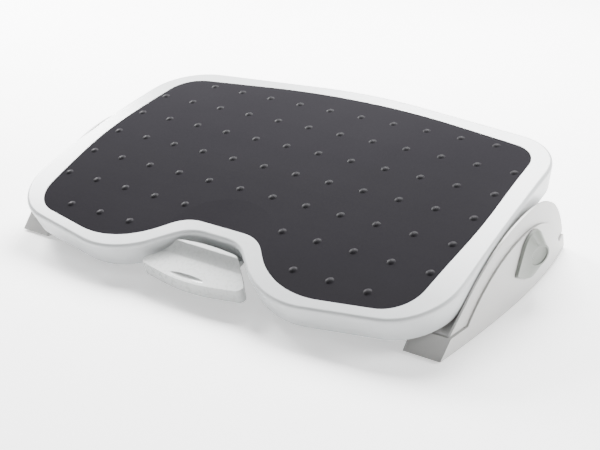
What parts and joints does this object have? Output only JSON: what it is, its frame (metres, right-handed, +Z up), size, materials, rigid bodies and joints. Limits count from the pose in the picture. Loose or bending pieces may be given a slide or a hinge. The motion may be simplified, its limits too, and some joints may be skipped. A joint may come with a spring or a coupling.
{
  "type": "under desk footrest",
  "caption": "Tilting under desk footrest: studded platform on a lockable tilt shaft between two side supports whose knobs raise it by rack and pinion.",
  "frame": {"origin": "centre of the overall width and depth, on the floor under the rubber feet", "axes": "+X to the user's right along the platform, +Y away from the user, +Z up"},
  "size_m": [0.5768, 0.3384, 0.1196],
  "materials": {
    "support_plastic": "fine-grained warm light grey moulding",
    "cover_plastic": "plain mid grey moulding",
    "platform_plastic": "satin cool light grey moulding",
    "pedal_plastic": "satin light grey moulding",
    "knob_plastic": "satin grey-green moulding",
    "mat_rubber": "matt charcoal with low studs",
    "foot_rubber": "matt black",
    "bearing_plastic": "natural acetal",
    "steel": "zinc plated",
    "drum_metal": "turned",
    "shoe_plastic": "black glass filled moulding",
    "brake_lining": "matt friction material"
  },
  "bodies": {
    "base": {"base_shell_right": "support_plastic", "base_shell_left": "support_plastic", "inner_cover_right": "cover_plastic", "inner_cover_left": "cover_plastic", "knob_bush_right": "bearing_plastic", "knob_bush_left": "bearing_plastic", "guide_posts": "steel", "rubber_feet": "foot_rubber", "cross_rail": "steel", "cover_screws": "steel", "rail_screws": "steel"},
    "carriage": {"arm_right": "support_plastic", "arm_left": "support_plastic", "rack_right": "bearing_plastic", "rack_left": "bearing_plastic", "rack_screws": "steel", "slide_bushes": "bearing_plastic", "tilt_shaft": "steel", "shaft_clips": "steel", "brake_drum": "drum_metal"},
    "platform": {"platform_shell": "platform_plastic", "foot_mat": "mat_rubber", "tilt_bushes": "bearing_plastic", "bearing_caps": "bearing_plastic", "bearing_cap_screws": "steel", "guide_plate": "steel", "guide_plate_screws": "steel", "mechanism_cover": "cover_plastic", "mechanism_cover_screws": "steel", "pedal_hinge_pin": "steel", "lock_spring": "steel"},
    "pedal": {"foot_pedal": "pedal_plastic", "pedal_link_pin": "steel"},
    "tilt_lock": {"lock_slider": "shoe_plastic", "brake_shoe": "shoe_plastic", "brake_lining": "brake_lining"},
    "knob_turn_right": {"knob_right": "knob_plastic", "knob_shaft_right": "steel", "pinion_right": "bearing_plastic", "knob_clip_right": "steel"},
    "knob_turn_left": {"knob_left": "knob_plastic", "knob_shaft_left": "steel", "pinion_left": "bearing_plastic", "knob_clip_left": "steel"}
  },
  "joints": [
    {"name": "height_lift", "type": "slide", "parent": "base", "child": "carriage", "axis": [0, 0, 1], "range_m": [0, 0.038]},
    {"name": "knob_right_turn", "type": "hinge", "parent": "base", "child": "knob_turn_right", "pos_m": [0.28, 0.02763, 0.045], "axis": [1, 0, 0], "range_deg": [-182, 0]},
    {"name": "knob_left_turn", "type": "hinge", "parent": "base", "child": "knob_turn_left", "pos_m": [-0.28, 0.02763, 0.045], "axis": [1, 0, 0], "range_deg": [-182, 0]},
    {"name": "platform_tilt", "type": "hinge", "parent": "carriage", "child": "platform", "pos_m": [0, -0.01037, 0.048], "axis": [1, 0, 0], "range_deg": [-14.5, 1]},
    {"name": "pedal_press", "type": "hinge", "parent": "platform", "child": "pedal", "pos_m": [0, -0.09637, 0.032], "axis": [1, 0, 0], "range_deg": [0, 7], "stiffness_Nm_per_rad": 3, "springref_deg": -5.73},
    {"name": "lock_release", "type": "slide", "parent": "platform", "child": "tilt_lock", "axis": [0, 1, 0], "range_m": [-0.002, 0], "deforming": ["lock_spring"]}
  ],
  "couplings": [
    {"joint": "knob_right_turn", "follows": "height_lift", "rad_per_m": -83.333},
    {"joint": "knob_left_turn", "follows": "height_lift", "rad_per_m": -83.333},
    {"joint": "lock_release", "follows": "pedal_press", "m_per_rad": -0.016}
  ]
}
